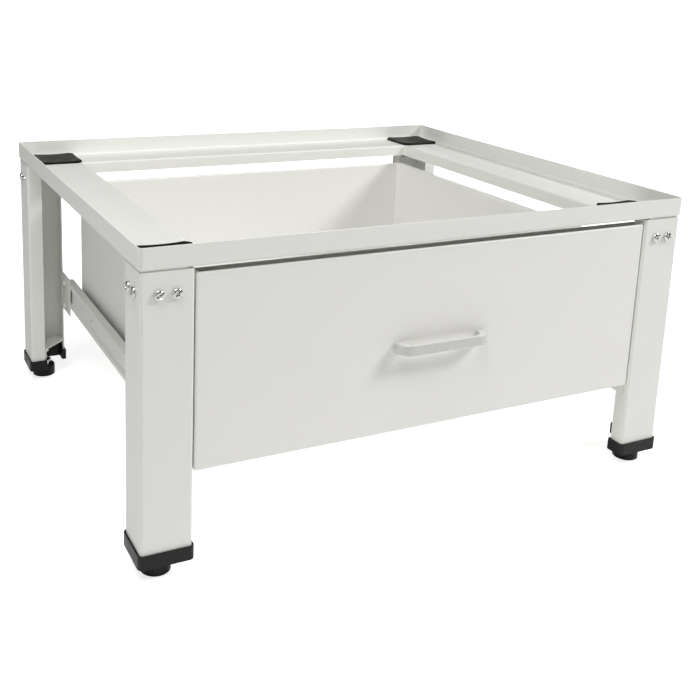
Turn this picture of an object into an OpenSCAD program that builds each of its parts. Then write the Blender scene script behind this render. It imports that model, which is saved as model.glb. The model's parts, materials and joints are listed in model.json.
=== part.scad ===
// Pedestal with a drawer for a front-loading washing machine.
// A tray-shaped rim of folded sheet stands on four folded corner legs. A drawer runs out
// to the front on telescopic runners. X is the width, the front faces -Y, Z is up, and
// the origin lies on the floor below the middle of the whole outline.

/* [Rim] */
// Outside width of the rim
rim_w = 630; // [610:1:680]
// Outside depth of the rim
rim_d = 540; // [530:1:600]
// Height of the rim's top edge above the floor
total_h = 320; // [310:1:360]
// Height of the rim's upright lip, outside
lip_h = 21; // [16:0.5:26]
// Width of the flange at the left and right
side_flange_w = 70.5; // [64:0.5:78]
// Width of the flange at the front and rear
end_flange_w = 63; // [58:1:72]
// Height of the turned-down inner edge of the flange
edge_h = 15; // [8:0.5:18]
// Sheet thickness of the rim
rim_sheet = 1.5; // [1:0.1:2]
// Outside radius of the folds in the rim
rim_fold_r = 2.5; // [2:0.1:4]

/* [Legs] */
// Width of a leg's front or rear plate
leg_w = 50; // [48:0.5:52]
// Width of a leg's side plate
leg_d = 48; // [46:0.5:52]
// Width of the folded lips at a leg's free edges
leg_lip = 18; // [14:0.5:19]
// Sheet thickness of the legs
leg_sheet = 1.5; // [1:0.1:2]
// Outside radius of the folds in the legs
leg_fold_r = 3; // [2.5:0.1:3.5]
// Step from the rim's side face in to the leg
leg_inset_x = 1.5; // [0.5:0.1:3]
// Step from the rim's front face in to the leg
leg_inset_y = 1; // [0.5:0.1:4]
// Gap between the rim's underside and the leg's upper end
leg_gap = 1.6; // [0.3:0.1:2.4]

/* [Corner brackets and leg screws] */
// Length of a corner bracket's arms
bracket_arm = 42; // [40:0.5:44]
// Height of a corner bracket
bracket_h = 36; // [33:0.5:45]
// Sheet thickness of the corner brackets
bracket_sheet = 2; // [1.5:0.1:2.5]
// Distance from the rim's underside down to the leg screws
screw_drop = 22.5; // [16:0.5:26]
// Distance between the two screws in one plate
screw_pitch = 16.5; // [15.5:0.1:17.5]
// Thread diameter of the leg screws
screw_d = 6; // [5:0.5:6]
// Head diameter of the leg screws
screw_head_d = 10; // [8:0.5:11]
// Head height of the leg screws
screw_head_h = 3.2; // [2:0.1:4]
// Width across the flats of the leg nuts
nut_af = 10; // [9:0.5:10]
// Height of the leg nuts
nut_h = 5; // [3:0.5:5.5]
// Length of the thread that stands out of a nut
screw_end = 1.5; // [0.5:0.5:3]

/* [Foot parts] */
// Height of the foot pad
foot_h = 15; // [12:0.5:18]
// Diameter of the foot pad
foot_d = 29; // [24:0.5:29]
// Distance from the leg's corner to the foot's axis, along each plate
foot_pos = 21; // [20:0.5:22]
// Thread diameter of the foot's stud
stud_d = 10; // [8:0.5:12]
// Height of the hexagon on the stud
stud_hex_h = 6; // [4:0.5:8]
// Width across the flats of the stud's hexagon
stud_hex_af = 17; // [15:0.5:18]
// Travel of a levelling foot
foot_travel = 10; // [5:0.5:10]
// Height of the gusset's top above the floor
gusset_top = 44; // [43:0.5:50]
// Thickness of the gusset
gusset_t = 2; // [1.5:0.1:3]
// Height of the nut under the gusset
gusset_nut_h = 8; // [7:0.5:10]
// Width across the flats of the nut under the gusset
gusset_nut_af = 17; // [15:0.5:18]
// Length of the stud above the gusset at rest
stud_over = 6; // [5:0.5:8]

/* [Foot caps] */
// Gap between the foot pad and the cap's underside
cap_lift = 0.5; // [0.3:0.1:2]
// Height of the cap's outer wall
cap_h = 13.5; // [10:0.5:16]
// Thickness of the cap's floor
cap_floor = 2; // [1.5:0.1:3]
// Thickness of the cap's walls
cap_wall = 2; // [1.5:0.1:2.2]
// Clearance between the cap and the leg's sheet
cap_gap = 0.2; // [0.1:0.05:0.3]

/* [Rubber pads] */
// Side of a rubber pad
pad_side = 58; // [50:1:59]
// Thickness of a rubber pad at its edge
pad_t = 3.5; // [3:0.5:8]
// Depth of the dish in a rubber pad
pad_dish = 2.2; // [1:0.1:2.8]
// Length of the cut at a pad's corners
pad_cut = 5; // [3:0.5:10]
// Distance from the rim's left or right face to a pad
pad_inset_x = 11.5; // [6:0.5:12]
// Distance from the rim's front or rear face to a pad
pad_inset_y = 8; // [6:0.5:12]

/* [Runners] */
// Distance from the rim's front or rear face to the end of an outer member
runner_end = 32; // [28:1:38]
// How much shorter the middle and inner members are than the outer one
runner_short = 26; // [10:1:40]
// Height of a runner
runner_h = 34; // [32:0.5:37]
// Height of a runner's middle line above the lower edge of the drawer's sides
runner_lift = 7; // [6:0.5:12]
// Sheet thickness of the runner members
runner_sheet = 1.2; // [1:0.05:1.3]
// Depth of the sunk web in an outer member
web_sink = 2.5; // [1:0.1:3]
// Height of the flat bands above and below the sunk web
web_band = 6; // [4.5:0.5:7]
// Height of the slopes between the bands and the sunk web
web_slope = 4; // [2:0.5:6]
// Depth of the inner member's channel
inner_depth = 6.5; // [6.2:0.1:7.5]
// Travel of the drawer
drawer_travel = 420; // [360:1:425]
// Ball diameter in the runners
ball_d = 3; // [2.6:0.1:3.2]
// Distance between the balls in a cage
ball_pitch = 20; // [14:1:40]
// Free gap between sliding runner pieces
slide_gap = 0.3; // [0.3:0.05:0.5]
// Free gap between a cage's web and the members beside it
cage_gap = 0.7; // [0.5:0.05:0.8]
// Sheet thickness of the ball cages
cage_sheet = 0.8; // [0.6:0.1:1]
// Play of a cage at the ends of its travel
cage_play = 14; // [4:1:20]

/* [Runner brackets] */
// Sheet thickness of the runner brackets
plate_t = 1.2; // [1:0.1:2]
// Length of a runner bracket
plate_len = 50; // [46:1:54]
// Height of a runner bracket
plate_h = 51; // [50:0.5:56]
// Height of the brackets' top above a runner's top
plate_rise = 7; // [4:0.5:8]
// Distance from the rim's front or rear face to a runner bracket
plate_inset = 7; // [6:0.5:8]
// Length of the bracket's hooks, which grip the edge of a leg's lip
hook_len = 17; // [12:0.5:20]
// Height of the bracket's hooks
hook_h = 5; // [4:0.5:7]
// Length of the leg's lip that a hook grips
hook_grip = 5; // [3:0.5:8]
// Distance from the bracket's top to the upper hook
hook_high = 10; // [6:0.5:12]
// Distance from the bracket's bottom to the lower hook
hook_low = 3; // [2:0.5:8]
// Clearance between a hook and the lip it grips
hook_gap = 0.2; // [0.1:0.05:0.4]

/* [Drawer] */
// Height of the drawer front
front_h = 190; // [186:1:200]
// Gap from the rim's underside to the drawer front
front_gap = 6.5; // [4:0.5:8]
// Step from the legs' front faces in to the drawer front
front_step = 1.6; // [0:0.1:3]
// Gap between the drawer front and the runner brackets, each side
side_gap = 0.5; // [0.3:0.1:3.5]
// Depth of the folded edges at the front's sides and bottom
front_edge = 15; // [12:0.5:18]
// Depth of the folded edge at the front's top
front_top_edge = 2.5; // [2:0.5:8]
// Distance from the top of the drawer front to the top of the inner front
inner_front_drop = 0.3; // [0:0.1:20]
// Sheet thickness of the drawer
drawer_sheet = 1.2; // [1:0.05:1.5]
// Distance from the rim's rear face to the rear end of the drawer's sides
box_gap = 56; // [50:1:64]
// Thickness of the drawer's double-skinned sides
wall_t = 11; // [8:0.5:14]
// Distance from the rim's underside to the top of the drawer's walls
wall_drop = 26; // [22:0.5:36]
// Height of the walls' lower edge above the front's lower edge
wall_rise = 7; // [4:0.5:12]
// Height of the floor above the lower edge of the walls
floor_lift = 6; // [3:0.5:14]
// Height of the folded edges under the floor and behind the rear wall
floor_edge = 5; // [3:0.5:8]

/* [Handle] */
// Length of the handle, outside
handle_l = 107.5; // [96:0.5:130]
// Reach of the handle in front of the drawer front
handle_out = 16; // [14:0.5:30]
// Height of the handle's strap
handle_h = 10.5; // [8:0.5:14]
// Thickness of the handle's bar
handle_t = 4; // [3:0.5:5]
// Width of the handle's feet
handle_foot = 9.5; // [8:0.5:12]
// Outside bend radius of the handle
handle_r = 11; // [6:0.5:12]
// Distance from the top of the drawer front to the handle's top
handle_drop = 94; // [60:1:110]

/* [Small fasteners] */
// Thread diameter of the drawer's screws and studs
small_screw_d = 4; // [3:0.5:4]
// Head diameter of the drawer's screws
small_head_d = 7.5; // [6:0.5:8]
// Head height of the drawer's screws
small_head_h = 2; // [1.5:0.1:2.2]
// Length of the drawer's screws beyond the sheets they hold
small_reach = 3; // [2:0.5:5]
// Thread engaged in each handle foot
handle_thread = 7; // [5:0.5:9]
// Width across the flats of the nuts that hold the drawer front
small_nut_af = 7; // [6:0.1:7]
// Height of the nuts that hold the drawer front
small_nut_h = 3.2; // [2:0.1:4]
// Distance from the top and bottom of the sides to the nuts
front_nut_z = 20; // [12:1:60]

/* [Hidden] */

$fn = 48;
// A little extra, so that cuts pass right through
eps = 0.5;
// Radial clearance of a thread in its nut
thread_fit = 0.05;
// Radial clearance of a screw or rivet in a plain hole
hole_fit = 0.25;

steel_white = [0.86, 0.86, 0.84];
zinc = [0.75, 0.76, 0.77];
black_plastic = [0.10, 0.10, 0.10];
black_rubber = [0.14, 0.14, 0.13];
pale_grey = [0.78, 0.78, 0.76];

// The handle stands in front of the rim, and the rear screw heads and foot caps stand out
// behind it. The origin is the middle of the whole outline.
panel_y = leg_inset_y + front_step;
handle_proud = handle_out - panel_y;
rear_proud = max(0, max(screw_head_h, cap_gap + cap_wall) - leg_inset_y);
y_front = (handle_proud - rim_d - rear_proud) / 2;
y_rear = y_front + rim_d;
rim_bottom = total_h - lip_h;
flange_top = rim_bottom + rim_sheet;

cap_bottom = foot_h + cap_lift;
leg_bottom = cap_bottom + cap_floor;
leg_top = rim_bottom - leg_gap;
gusset_bottom = gusset_top - gusset_t;
foot_x = leg_inset_x + foot_pos;
foot_y = leg_inset_y + foot_pos;
leg_inner_x = leg_inset_x + leg_w;
screw_z = rim_bottom - screw_drop;
// Corner-to-corner width of a hexagon, for a width across its flats of 1
hex_ratio = 1 / cos(30);

// Drawer, measured from the rim's left and front faces
panel_x = leg_inner_x + plate_t + side_gap;
panel_w = rim_w - 2 * panel_x;
panel_top = rim_bottom - front_gap;
panel_bottom = panel_top - front_h;
inner_front_y = panel_y + front_edge;
box_y = inner_front_y + drawer_sheet;
box_back = rim_d - box_gap;
wall_top = rim_bottom - wall_drop;
wall_bottom = panel_bottom + wall_rise;
wall_h = wall_top - wall_bottom;
floor_top = wall_bottom + floor_lift;
back_y = box_back - floor_edge;
handle_z = panel_top - handle_drop - handle_h / 2;

// Runner section, from the bracket's inner face towards the drawer
runner_x = leg_inner_x + plate_t;
outer_len = rim_d - 2 * runner_end;
runner_len = outer_len - runner_short;
runner_z = wall_bottom + runner_lift;
outer_cage_x = web_sink + runner_sheet + cage_gap;
middle_x = outer_cage_x + cage_sheet + cage_gap;
inner_cage_x = middle_x + runner_sheet + cage_gap;
inner_x = inner_cage_x + cage_sheet + cage_gap;
runner_w = inner_x + inner_depth;
box_x = runner_x + runner_w;
// Half heights of the members' outer faces, with a race for the balls between them
race = ball_d + 2 * slide_gap;
outer_half = runner_h / 2;
middle_half = outer_half - runner_sheet - race;
inner_half = middle_half - runner_sheet - race;
outer_ball_x = middle_x + slide_gap + ball_d / 2;
inner_ball_x = inner_x + ball_d / 2;
middle_depth = inner_ball_x + ball_d / 2 - middle_x;
outer_depth = outer_ball_x + ball_d / 2 + slide_gap + runner_sheet;
// The middle member moves half as far as the drawer. A cage moves half as far as the two
// members it runs between, so it spans what is left of their overlap when the drawer is out.
cage_len = runner_len - drawer_travel / 2 - cage_play;
cage_y = runner_end + (runner_len - cage_len) / 2;

plate_top = runner_z + outer_half + plate_rise;
plate_bottom = plate_top - plate_h;

// ---------- shared shapes ----------

// Places a shape drawn at the front left corner of the rim at any of its four corners
module corner(right, rear) {
    translate([right ? rim_w / 2 : -rim_w / 2, rear ? y_rear : y_front, 0])
        mirror([right ? 1 : 0, 0, 0])
            mirror([0, rear ? 1 : 0, 0])
                children();
}

// Places a shape drawn from the rim's left and front face at the left or right
module side(right) {
    translate([right ? rim_w / 2 : -rim_w / 2, y_front, 0])
        mirror([right ? 1 : 0, 0, 0])
            children();
}

// All four corners, for fasteners
module each_corner() {
    for (right = [false, true], rear = [false, true])
        corner(right, rear)
            children();
}

// Rectangle with its corner at the origin rounded
module corner_block(w, h, r) {
    translate([r, 0]) square([w - r, h]);
    translate([0, r]) square([w, h - r]);
    translate([r, r]) circle(r);
}

// Section of a folded angle: arms w and h, its outer corner at the origin
module angle_section(w, h, t, r) {
    difference() {
        corner_block(w, h, r);
        translate([t, t]) corner_block(w, h, r - t);
    }
}

// Rectangle from the origin with four round corners
module round_rect(w, h, r) {
    translate([r, 0]) square([w - 2 * r, h]);
    translate([0, r]) square([w, h - 2 * r]);
    for (x = [r, w - r], y = [r, h - r])
        translate([x, y]) circle(r);
}

// Hexagon across the flats af
module hexagon(af) {
    circle(d = af * hex_ratio, $fn = 6);
}

// Round screw head with a domed edge, standing up from z = 0
module pan_head(d, h) {
    rotate_extrude()
        difference() {
            square([d / 2, h]);
            translate([d / 2 - h * 0.6, h * 0.4])
                difference() {
                    square(h);
                    circle(h * 0.6);
                }
        }
}

// Pan-head screw: head above z = 0, shank below
module pan_screw(d, length, head_d, head_h) {
    pan_head(head_d, head_h);
    translate([0, 0, -length]) cylinder(d = d, h = length + head_h / 2);
}

// ---------- rim ----------

// Section of a rim rail: lip at the left, flange towards +X, inner edge turned down
module rail_section(flange_w) {
    angle_section(flange_w - rim_fold_r, lip_h, rim_sheet, rim_fold_r);
    translate([flange_w, rim_sheet])
        rotate(180)
            angle_section(flange_w / 2, edge_h, rim_sheet, rim_fold_r);
}

// Plan of a mitred rail along Y, at the left of the rim
module mitre_plan(length, flange_w, end_w) {
    polygon([[0, 0], [flange_w, end_w], [flange_w, length - end_w], [0, length]]);
}

// A rail along Y at the left of the rim, cut at both mitres
module rail(length, flange_w, end_w) {
    intersection() {
        translate([0, length, rim_bottom])
            rotate([90, 0, 0])
                linear_extrude(length) rail_section(flange_w);
        translate([0, 0, rim_bottom - edge_h])
            linear_extrude(lip_h + edge_h + eps) mitre_plan(length, flange_w, end_w);
    }
}

module rim_side(right) {
    color(steel_white) side(right) rail(rim_d, side_flange_w, end_flange_w);
}

module rim_end(rear) {
    color(steel_white)
        translate([rear ? rim_w / 2 : -rim_w / 2, rear ? y_rear : y_front, 0])
            rotate(rear ? 180 : 0)
                mirror([1, -1, 0])
                    rail(rim_w, end_flange_w, side_flange_w);
}

// ---------- legs and their fasteners ----------

// Section of a leg, its outer corner at the origin. grow fattens the sheet on both sides.
module leg_section(grow) {
    t = leg_sheet + grow;
    difference() {
        translate([-grow, -grow])
            round_rect(leg_w + 2 * grow, leg_d + 2 * grow, leg_fold_r + grow);
        translate([t, t])
            round_rect(leg_w - 2 * t, leg_d - 2 * t, leg_fold_r - t);
        translate([leg_lip + grow, leg_lip + grow]) square([leg_w, leg_d]);
    }
}

// Puts a screw's axis at each hole of a leg, pointing out of the plate's outer face
module each_leg_screw() {
    for (shift = [-screw_pitch / 2, screw_pitch / 2]) {
        translate([leg_inset_x + leg_w / 2 + shift, leg_inset_y, screw_z])
            rotate([90, 0, 0]) children();
        translate([leg_inset_x, leg_inset_y + leg_d / 2 + shift, screw_z])
            rotate([0, -90, 0]) children();
    }
}

module leg_screw_holes() {
    each_leg_screw()
        translate([0, 0, -leg_sheet - bracket_sheet - eps])
            cylinder(d = screw_d + 2 * hole_fit, h = leg_sheet + bracket_sheet + 2 * eps);
}

module leg(right, rear) {
    color(steel_white) corner(right, rear)
        difference() {
            translate([leg_inset_x, leg_inset_y, leg_bottom])
                linear_extrude(leg_top - leg_bottom) leg_section(0);
            leg_screw_holes();
        }
}

module corner_bracket(right, rear) {
    inset = leg_sheet;
    color(steel_white) corner(right, rear)
        difference() {
            translate([leg_inset_x + inset, leg_inset_y + inset, rim_bottom - bracket_h])
                linear_extrude(bracket_h)
                    angle_section(bracket_arm, bracket_arm, bracket_sheet, leg_fold_r);
            leg_screw_holes();
        }
}

module leg_screws() {
    thread = leg_sheet + bracket_sheet + nut_h + screw_end;
    color(zinc) each_corner() each_leg_screw()
        pan_screw(screw_d, thread, screw_head_d, screw_head_h);
}

module leg_nuts() {
    color(zinc) each_corner() each_leg_screw()
        translate([0, 0, -leg_sheet - bracket_sheet - nut_h])
            difference() {
                linear_extrude(nut_h) hexagon(nut_af);
                translate([0, 0, -eps])
                    cylinder(d = screw_d + 2 * thread_fit, h = nut_h + 2 * eps);
            }
}

// ---------- feet ----------

// Plate across the lower end of a leg, which holds the foot's thread
module foot_gusset(right, rear) {
    t = leg_sheet;
    c = leg_fold_r;
    color(steel_white) corner(right, rear)
        difference() {
            translate([leg_inset_x, leg_inset_y, gusset_bottom])
                linear_extrude(gusset_t)
                    polygon([
                        [t + c, t], [leg_w - t - c, t], [leg_w - t, t + c],
                        [leg_w - t, leg_lip], [leg_lip, leg_d - t],
                        [t + c, leg_d - t], [t, leg_d - t - c], [t, t + c]
                    ]);
            translate([foot_x, foot_y, gusset_bottom - eps])
                cylinder(d = stud_d + 2 * hole_fit, h = gusset_t + 2 * eps);
        }
}

module gusset_nuts() {
    color(zinc) each_corner()
        translate([foot_x, foot_y, gusset_bottom - gusset_nut_h])
            difference() {
                linear_extrude(gusset_nut_h) hexagon(gusset_nut_af);
                translate([0, 0, -eps])
                    cylinder(d = stud_d + 2 * thread_fit, h = gusset_nut_h + 2 * eps);
            }
}

// Boot round the lower end of a leg: a slot for the sheet between an outer and an inner wall
module foot_cap(right, rear) {
    outer = cap_gap + cap_wall;
    inner = leg_sheet + outer;
    inner_top = gusset_bottom - cap_gap;
    color(black_plastic) corner(right, rear)
        difference() {
            translate([leg_inset_x, leg_inset_y, cap_bottom])
                union() {
                    linear_extrude(cap_h)
                        cap_plan(outer, inner, leg_lip + outer);
                    linear_extrude(inner_top - cap_bottom)
                        cap_plan(-leg_sheet, inner, leg_lip - cap_wall);
                }
            translate([leg_inset_x, leg_inset_y, leg_bottom])
                linear_extrude(gusset_top) leg_section(cap_gap);
        }
}

// Ring round the leg's outline, reaching out by outer and in by inner, open past lip
module cap_plan(outer, inner, lip) {
    difference() {
        translate([-outer, -outer])
            round_rect(leg_w + 2 * outer, leg_d + 2 * outer, max(leg_fold_r + outer, 1));
        translate([inner, inner])
            square([leg_w - 2 * inner, leg_d - 2 * inner]);
        translate([lip, lip]) square([leg_w + outer, leg_d + outer]);
    }
}

module foot_pad(right, rear) {
    round_r = 3;
    color(black_plastic) corner(right, rear)
        translate([foot_x, foot_y, 0])
            rotate_extrude()
                union() {
                    square([foot_d / 2 - round_r, foot_h]);
                    square([foot_d / 2, foot_h - round_r]);
                    translate([foot_d / 2 - round_r, foot_h - round_r]) circle(round_r);
                }
}

module foot_stud(right, rear) {
    color(zinc) corner(right, rear)
        translate([foot_x, foot_y, foot_h])
            union() {
                cylinder(d = stud_d, h = gusset_top + stud_over - foot_h);
                linear_extrude(stud_hex_h) hexagon(stud_hex_af);
            }
}

// ---------- rubber pads ----------

// Square pad with cut corners and a round dish that steadies a machine's foot
module rubber_pad(right, rear) {
    s = pad_side;
    c = pad_cut;
    color(black_rubber) corner(right, rear)
        translate([pad_inset_x, pad_inset_y, flange_top])
            difference() {
                linear_extrude(pad_t)
                    polygon([
                        [c, 0], [s - c, 0], [s, c], [s, s - c],
                        [s - c, s], [c, s], [0, s - c], [0, c]
                    ]);
                translate([s / 2, s / 2, pad_t - pad_dish])
                    cylinder(d1 = s * 0.3, d2 = s * 0.9, h = pad_dish + 0.001, $fn = 96);
            }
}

// ---------- runner brackets ----------

// Plate that carries a runner's end. Its two hooks grip the free edge of the leg's lip.
module runner_bracket(right, rear) {
    hook_depth = leg_sheet + hook_gap + plate_t;
    lip_end = leg_inset_y + leg_lip;
    hook_y = lip_end - hook_grip;
    color(steel_white) corner(right, rear)
        union() {
            difference() {
                translate([leg_inner_x, plate_inset, plate_bottom])
                    cube([plate_t, plate_len, plate_h]);
                // Windows that the hooks are cut and pressed out of
                for (z = [plate_top - hook_high - hook_h, plate_bottom + hook_low])
                    translate([leg_inner_x - eps, lip_end, z])
                        cube([plate_t + 2 * eps, hook_len - hook_grip - plate_t, hook_h]);
            }
            for (z = [plate_top - hook_high - hook_h, plate_bottom + hook_low])
                translate([leg_inner_x - hook_depth, hook_y, z]) {
                    cube([plate_t, hook_len, hook_h]);
                    translate([0, hook_len - plate_t, 0])
                        cube([hook_depth + plate_t, plate_t, hook_h]);
                }
        }
}

// ---------- runners ----------

// Extrudes a runner section along Y, from y over length, with its middle line at runner_z
module runner_piece(y, length) {
    translate([runner_x, y + length, runner_z])
        rotate([90, 0, 0])
            linear_extrude(length) children();
}

// Channel lying on its side: web at x, arms towards +X
module channel(x, depth, half, t) {
    difference() {
        translate([x, -half]) square([depth, 2 * half]);
        translate([x + t, t - half]) square([depth, 2 * (half - t)]);
    }
}

// Outer member: sunk web, and arms with lips that keep the balls in
module outer_section() {
    t = runner_sheet;
    band = outer_half - web_band;
    web = band - web_slope;
    polygon([
        [0, -band], [t, -band], [web_sink + t, -web], [web_sink + t, web],
        [t, band], [0, band], [web_sink, web], [web_sink, -web]
    ]);
    for (up = [0, 1])
        mirror([0, up]) {
            translate([0, -outer_half]) angle_section(outer_depth, web_band + eps, t, 2 * t);
            translate([outer_depth - t, -outer_half]) square([t, t + slide_gap + ball_d / 2]);
        }
}

module runner_outer(right) {
    hole_d = 5;
    color(pale_grey) side(right)
        difference() {
            runner_piece(runner_end, outer_len) outer_section();
            // Holes in the web that give a way to the inner member's screws
            each_runner_screw()
                translate([0, 0, runner_w - web_sink - 2 * runner_sheet - eps])
                    cylinder(d = hole_d, h = runner_sheet + 2 * eps);
        }
}

module runner_middle(right) {
    color(zinc) side(right)
        runner_piece(runner_end, runner_len)
            channel(middle_x, middle_depth, middle_half, runner_sheet);
}

// Screw axes in an inner member's web, pointing away from the drawer
module each_runner_screw() {
    for (part = [0.08, 0.4, 0.78])
        translate([box_x - runner_sheet, runner_end + part * runner_len, runner_z])
            rotate([0, -90, 0]) children();
}

module runner_screw_holes() {
    each_runner_screw()
        translate([0, 0, -runner_sheet - drawer_sheet - eps])
            cylinder(d = small_screw_d + 2 * hole_fit, h = runner_sheet + drawer_sheet + 2 * eps);
}

// Inner member, drawn the other way round: its web lies against the drawer
module runner_inner(right) {
    color(zinc) side(right)
        difference() {
            runner_piece(runner_end, runner_len)
                translate([runner_w, 0])
                    mirror([1, 0])
                        channel(0, inner_depth, inner_half, runner_sheet);
            runner_screw_holes();
        }
}

module runner_screws() {
    length = runner_sheet + drawer_sheet + small_reach;
    color(zinc)
        for (right = [false, true])
            side(right) each_runner_screw()
                pan_screw(small_screw_d, length, small_head_d, small_head_h);
}

// Places a shape at each ball of a cage
module each_ball(half, ball_x) {
    last = floor((cage_len - 2 * ball_d) / ball_pitch);
    for (i = [0 : last], z = [-half, half])
        translate([runner_x + ball_x, cage_y + cage_len / 2 + (i - last / 2) * ball_pitch, runner_z + z])
            children();
}

// Strip cage between two members, with a loose ball in each pocket of its shelves
module cage(x, half, ball_x) {
    difference() {
        runner_piece(cage_y, cage_len)
            channel(x, ball_x + ball_d / 2 - x, half + cage_sheet / 2, cage_sheet);
        each_ball(half, ball_x)
            translate([0, 0, -cage_sheet])
                cylinder(d = ball_d + 2 * slide_gap, h = 2 * cage_sheet);
    }
    each_ball(half, ball_x)
        sphere(d = ball_d, $fn = 32);
}

module outer_cage(right) {
    color(zinc) side(right)
        cage(outer_cage_x, middle_half + race / 2, outer_ball_x);
}

module inner_cage(right) {
    color(zinc) side(right)
        cage(inner_cage_x, inner_half + race / 2, inner_ball_x);
}

// ---------- drawer ----------

// Puts a shape at each place where a side is bolted to the front, its axis along Y
module each_front_stud(y) {
    for (right = [false, true], z = [wall_bottom + front_nut_z, wall_top - front_nut_z])
        side(right)
            translate([box_x + wall_t / 2, y, z])
                rotate([-90, 0, 0]) children();
}

// Puts a shape at each handle foot, its axis along Y
module each_handle_foot(y) {
    for (x = [handle_foot - handle_l, handle_l - handle_foot])
        translate([x / 2, y_front + y, handle_z])
            rotate([-90, 0, 0]) children();
}

// Folded pan: face, deep edges at the sides and bottom, shallow edge at the top
module drawer_front() {
    t = drawer_sheet;
    color(steel_white)
        difference() {
            translate([-panel_w / 2, y_front + panel_y, panel_bottom])
                union() {
                    cube([panel_w, t, front_h]);
                    cube([panel_w, front_edge, t]);
                    cube([t, front_edge, front_h]);
                    translate([panel_w - t, 0, 0]) cube([t, front_edge, front_h]);
                    translate([0, 0, front_h - t]) cube([panel_w, front_top_edge, t]);
                }
            each_handle_foot(panel_y - eps)
                cylinder(d = small_screw_d + 2 * hole_fit, h = t + 2 * eps);
        }
}

// Sheet behind the pan's edges, with studs welded to its back for the drawer's sides
module drawer_inner_front() {
    t = drawer_sheet;
    color(steel_white)
        union() {
            translate([-panel_w / 2, y_front + inner_front_y, panel_bottom])
                cube([panel_w, t, front_h - inner_front_drop]);
            each_front_stud(box_y - t / 2)
                cylinder(d = small_screw_d, h = t / 2 + t + small_nut_h + 1);
        }
}

// Double-skinned side: two skins joined over the top, and a closed front end
module drawer_side(right) {
    t = drawer_sheet;
    length = box_back - box_y;
    color(steel_white)
        difference() {
            side(right)
                translate([box_x, box_y, wall_bottom])
                    difference() {
                        cube([wall_t, length, wall_h]);
                        translate([t, t, -eps]) cube([wall_t - 2 * t, length, wall_h - t + eps]);
                    }
            side(right) runner_screw_holes();
            each_front_stud(box_y - eps)
                cylinder(d = small_screw_d + 2 * hole_fit, h = t + 2 * eps);
        }
}

// Rear wall between the sides, its upper and lower edges folded back
module drawer_back() {
    w = rim_w - 2 * (box_x + wall_t);
    t = drawer_sheet;
    color(steel_white)
        translate([-w / 2, y_front + back_y, wall_bottom])
            union() {
                cube([w, t, wall_h]);
                cube([w, floor_edge, t]);
                translate([0, 0, wall_h - t]) cube([w, floor_edge, t]);
            }
}

// Floor between the walls, its edges turned down
module drawer_floor() {
    w = rim_w - 2 * (box_x + wall_t);
    t = drawer_sheet;
    length = back_y - box_y;
    color(steel_white)
        translate([-w / 2, y_front + box_y, floor_top - floor_edge])
            difference() {
                cube([w, length, floor_edge]);
                translate([t, t, -t]) cube([w - 2 * t, length - 2 * t, floor_edge]);
            }
}

// Nuts on the front's studs, inside the sides
module front_nuts() {
    color(zinc)
        each_front_stud(box_y + drawer_sheet)
            difference() {
                linear_extrude(small_nut_h) hexagon(small_nut_af);
                translate([0, 0, -eps])
                    cylinder(d = small_screw_d + 2 * thread_fit, h = small_nut_h + 2 * eps);
            }
}

// Plan of a bow of the given outside length and reach, standing out to -Y
module bow_plan(length, reach, r) {
    translate([-length / 2, -reach])
        intersection() {
            square([length, reach]);
            round_rect(length, reach + 2 * r, r);
        }
}

// Bow handle: a bar on two thicker feet, which are threaded for the screws
module handle() {
    inner_l = handle_l - 2 * handle_foot;
    color(steel_white)
        difference() {
            translate([0, y_front + panel_y, handle_z - handle_h / 2])
                linear_extrude(handle_h)
                    difference() {
                        bow_plan(handle_l, handle_out, handle_r);
                        translate([0, eps])
                            bow_plan(inner_l, handle_out - handle_t + eps, handle_r - handle_t);
                    }
            each_handle_foot(panel_y - handle_thread - 1)
                cylinder(d = small_screw_d + 2 * thread_fit, h = handle_thread + 1 + eps);
        }
}

module handle_screws() {
    length = drawer_sheet + handle_thread;
    color(zinc)
        each_handle_foot(panel_y + drawer_sheet)
            pan_screw(small_screw_d, length, small_head_d, small_head_h);
}

rim_end(false);  // rim_front
rim_end(true);  // rim_rear
rim_side(false);  // rim_left
rim_side(true);  // rim_right
corner_bracket(false, false);  // corner_bracket_fl
corner_bracket(true, false);  // corner_bracket_fr
corner_bracket(false, true);  // corner_bracket_rl
corner_bracket(true, true);  // corner_bracket_rr
leg(false, false);  // leg_fl
leg(true, false);  // leg_fr
leg(false, true);  // leg_rl
leg(true, true);  // leg_rr
leg_screws();
leg_nuts();
foot_gusset(false, false);  // foot_gusset_fl
foot_gusset(true, false);  // foot_gusset_fr
foot_gusset(false, true);  // foot_gusset_rl
foot_gusset(true, true);  // foot_gusset_rr
gusset_nuts();
foot_cap(false, false);  // foot_cap_fl
foot_cap(true, false);  // foot_cap_fr
foot_cap(false, true);  // foot_cap_rl
foot_cap(true, true);  // foot_cap_rr
foot_pad(false, false);  // foot_pad_fl
foot_pad(true, false);  // foot_pad_fr
foot_pad(false, true);  // foot_pad_rl
foot_pad(true, true);  // foot_pad_rr
foot_stud(false, false);  // foot_stud_fl
foot_stud(true, false);  // foot_stud_fr
foot_stud(false, true);  // foot_stud_rl
foot_stud(true, true);  // foot_stud_rr
rubber_pad(false, false);  // rubber_pad_fl
rubber_pad(true, false);  // rubber_pad_fr
rubber_pad(false, true);  // rubber_pad_rl
rubber_pad(true, true);  // rubber_pad_rr
runner_bracket(false, false);  // runner_bracket_fl
runner_bracket(true, false);  // runner_bracket_fr
runner_bracket(false, true);  // runner_bracket_rl
runner_bracket(true, true);  // runner_bracket_rr
runner_outer(false);  // runner_outer_left
runner_outer(true);  // runner_outer_right
outer_cage(false);  // outer_cage_left
outer_cage(true);  // outer_cage_right
runner_middle(false);  // runner_middle_left
runner_middle(true);  // runner_middle_right
inner_cage(false);  // inner_cage_left
inner_cage(true);  // inner_cage_right
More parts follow.
